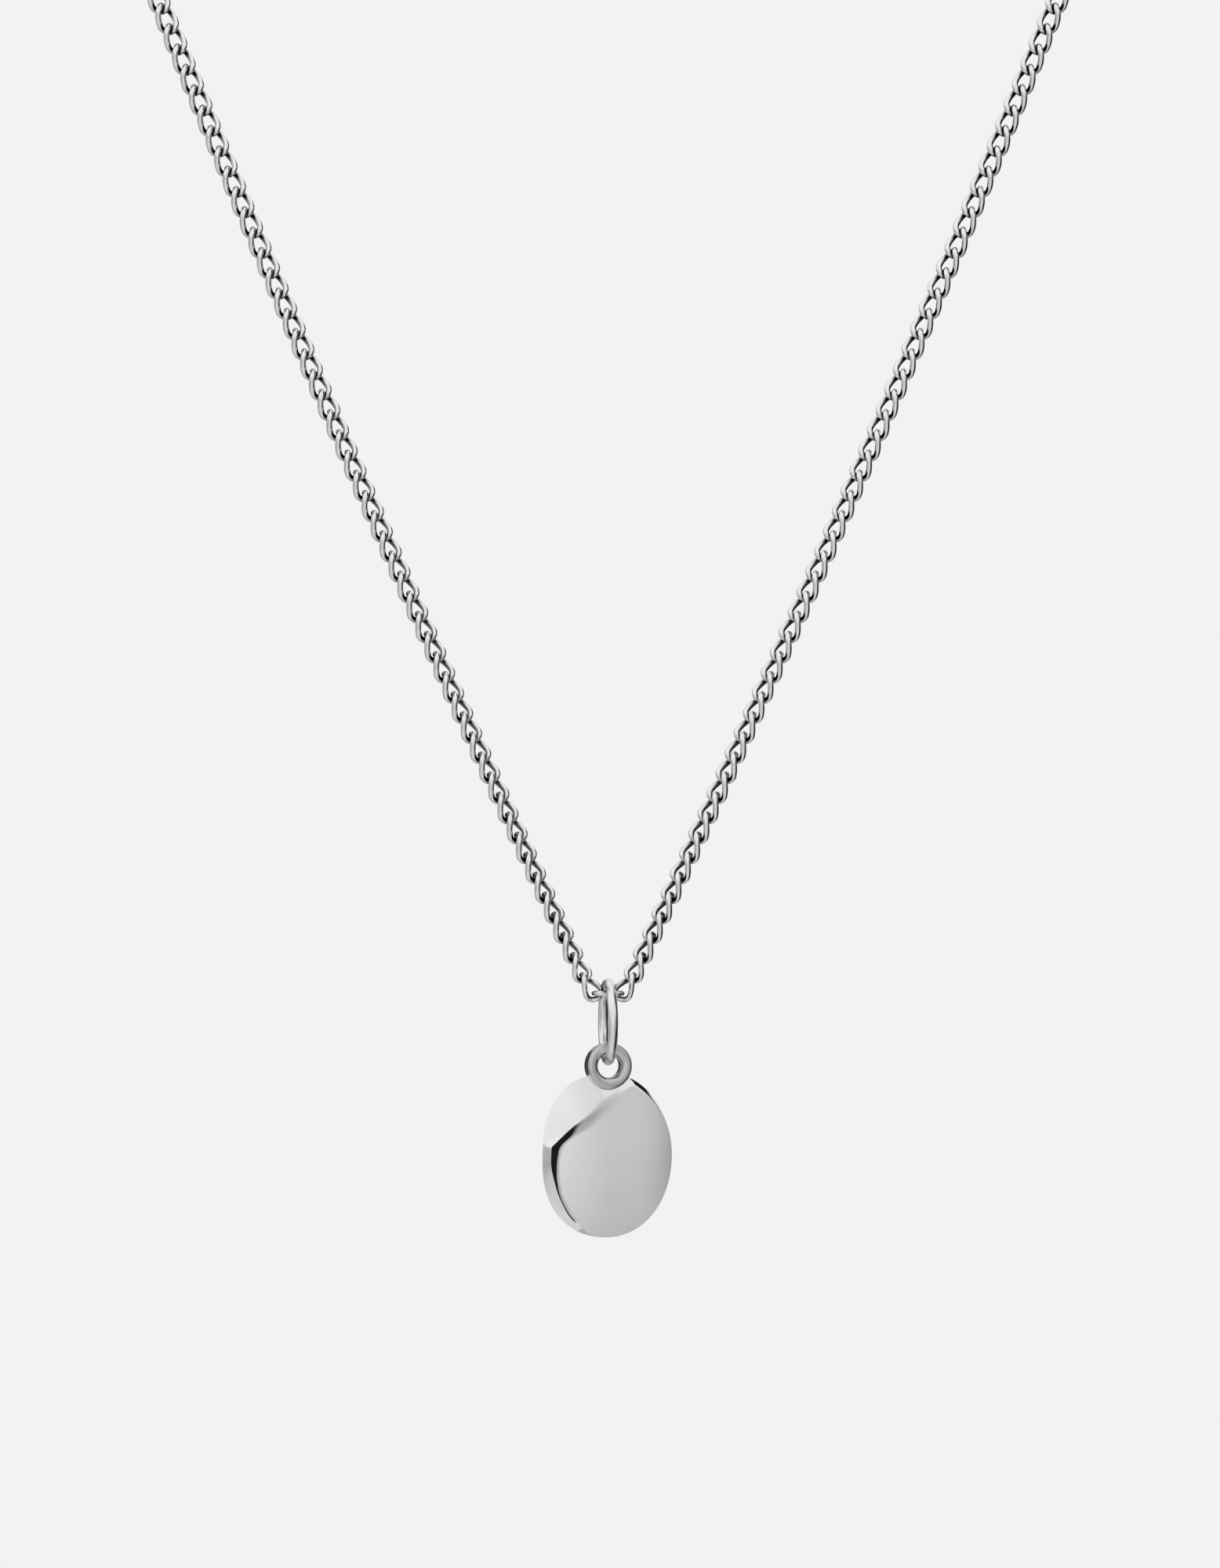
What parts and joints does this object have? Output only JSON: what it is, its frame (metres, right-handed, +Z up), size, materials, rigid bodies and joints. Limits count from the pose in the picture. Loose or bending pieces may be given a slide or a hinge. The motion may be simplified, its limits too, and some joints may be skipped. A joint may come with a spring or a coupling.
{
  "type": "pendant necklace",
  "caption": "Pendant necklace: a polished oval pendant hangs by its eyelet from a jump ring on a fine curb chain that closes with a lobster clasp at the nape.",
  "frame": {"origin": "nape of the neck, at the middle of the closed clasp", "axes": "+Z up the neck, -Y towards the front where the pendant hangs, +X to the viewer's right from the front"},
  "size_m": [0.1254, 0.0877, 0.1953],
  "materials": {
    "chain_silver": "bright polished silver wire",
    "ring_silver": "bright polished silver wire",
    "pendant_silver": "mirror polished silver",
    "clasp_silver": "tumble polished cast silver",
    "spring_steel": "drawn spring wire"
  },
  "bodies": {
    "neck": {"left_neck_run_1": "chain_silver", "left_neck_run_2": "chain_silver", "left_neck_run_3": "chain_silver", "left_neck_run_4": "chain_silver", "right_neck_run_1": "chain_silver", "right_neck_run_2": "chain_silver", "right_neck_run_3": "chain_silver", "right_neck_run_4": "chain_silver", "end_ring": "clasp_silver", "clasp_ring": "clasp_silver", "clasp_body": "clasp_silver", "clasp_pin": "clasp_silver", "clasp_spring": "spring_steel"},
    "upper_runs": {"left_upper_run": "chain_silver", "right_upper_run": "chain_silver"},
    "front_runs_4": {"left_front_run_4": "chain_silver", "right_front_run_4": "chain_silver"},
    "front_runs_3": {"left_front_run_3": "chain_silver", "right_front_run_3": "chain_silver"},
    "front_runs_2": {"left_front_run_2": "chain_silver", "right_front_run_2": "chain_silver"},
    "front_runs_1": {"left_front_run_1": "chain_silver", "right_front_run_1": "chain_silver"},
    "links_6": {"left_link_6": "chain_silver", "right_link_6": "chain_silver"},
    "links_5": {"left_link_5": "chain_silver", "right_link_5": "chain_silver"},
    "links_4": {"left_link_4": "chain_silver", "right_link_4": "chain_silver"},
    "links_3": {"left_link_3": "chain_silver", "right_link_3": "chain_silver"},
    "links_2": {"left_link_2": "chain_silver", "right_link_2": "chain_silver"},
    "links_1": {"left_link_1": "chain_silver", "right_link_1": "chain_silver"},
    "middle": {"centre_link": "chain_silver"},
    "ring": {"jump_ring": "ring_silver"},
    "pendant": {"pendant_eyelet": "pendant_silver", "pendant_disc": "pendant_silver"},
    "lever": {"clasp_lever": "clasp_silver"}
  },
  "joints": [
    {"name": "upper_runs_swing", "type": "hinge", "parent": "neck", "child": "upper_runs", "pos_m": [0, -0.08158, -0.046], "axis": [1, 0, 0], "range_deg": [-10, 10]},
    {"name": "front_runs_4_swing", "type": "hinge", "parent": "upper_runs", "child": "front_runs_4", "pos_m": [0, -0.08158, -0.07651], "axis": [1, 0, 0], "range_deg": [-10, 10]},
    {"name": "front_runs_3_swing", "type": "hinge", "parent": "front_runs_4", "child": "front_runs_3", "pos_m": [0, -0.08158, -0.09738], "axis": [1, 0, 0], "range_deg": [-10, 10]},
    {"name": "front_runs_2_swing", "type": "hinge", "parent": "front_runs_3", "child": "front_runs_2", "pos_m": [0, -0.08158, -0.11814], "axis": [1, 0, 0], "range_deg": [-10, 10]},
    {"name": "front_runs_1_swing", "type": "hinge", "parent": "front_runs_2", "child": "front_runs_1", "pos_m": [0, -0.08158, -0.1388], "axis": [1, 0, 0], "range_deg": [-10, 10]},
    {"name": "links_6_swing", "type": "hinge", "parent": "front_runs_1", "child": "links_6", "pos_m": [0, -0.08158, -0.15933], "axis": [1, 0, 0], "range_deg": [-10, 10]},
    {"name": "links_5_swing", "type": "hinge", "parent": "links_6", "child": "links_5", "pos_m": [0, -0.08158, -0.16119], "axis": [1, 0, 0], "range_deg": [-10, 10]},
    {"name": "links_4_swing", "type": "hinge", "parent": "links_5", "child": "links_4", "pos_m": [0, -0.08158, -0.16305], "axis": [1, 0, 0], "range_deg": [-10, 10]},
    {"name": "links_3_swing", "type": "hinge", "parent": "links_4", "child": "links_3", "pos_m": [0, -0.08158, -0.16491], "axis": [1, 0, 0], "range_deg": [-10, 10]},
    {"name": "links_2_swing", "type": "hinge", "parent": "links_3", "child": "links_2", "pos_m": [0, -0.08158, -0.16677], "axis": [1, 0, 0], "range_deg": [-10, 10]},
    {"name": "links_1_swing", "type": "hinge", "parent": "links_2", "child": "links_1", "pos_m": [0, -0.08158, -0.16862], "axis": [1, 0, 0], "range_deg": [-10, 7]},
    {"name": "middle_link_swing", "type": "hinge", "parent": "links_1", "child": "middle", "pos_m": [0, -0.08158, -0.17034], "axis": [1, 0, 0], "range_deg": [-10, 7]},
    {"name": "jump_ring_turn", "type": "hinge", "parent": "middle", "child": "ring", "pos_m": [0, -0.08158, -0.17278], "axis": [0.9914, 0.1305, 0], "range_deg": [-60, 60]},
    {"name": "pendant_swing", "type": "hinge", "parent": "ring", "child": "pendant", "pos_m": [0, -0.08158, -0.17635], "axis": [0.1305, -0.9914, 0], "range_deg": [-60, 60]},
    {"name": "clasp_lever_open", "type": "hinge", "parent": "neck", "child": "lever", "pos_m": [0.0012, 0, -0.0006], "axis": [0, 1, 0], "range_deg": [0, 12], "stiffness_Nm_per_rad": 0.002, "springref_deg": -17.19}
  ]
}
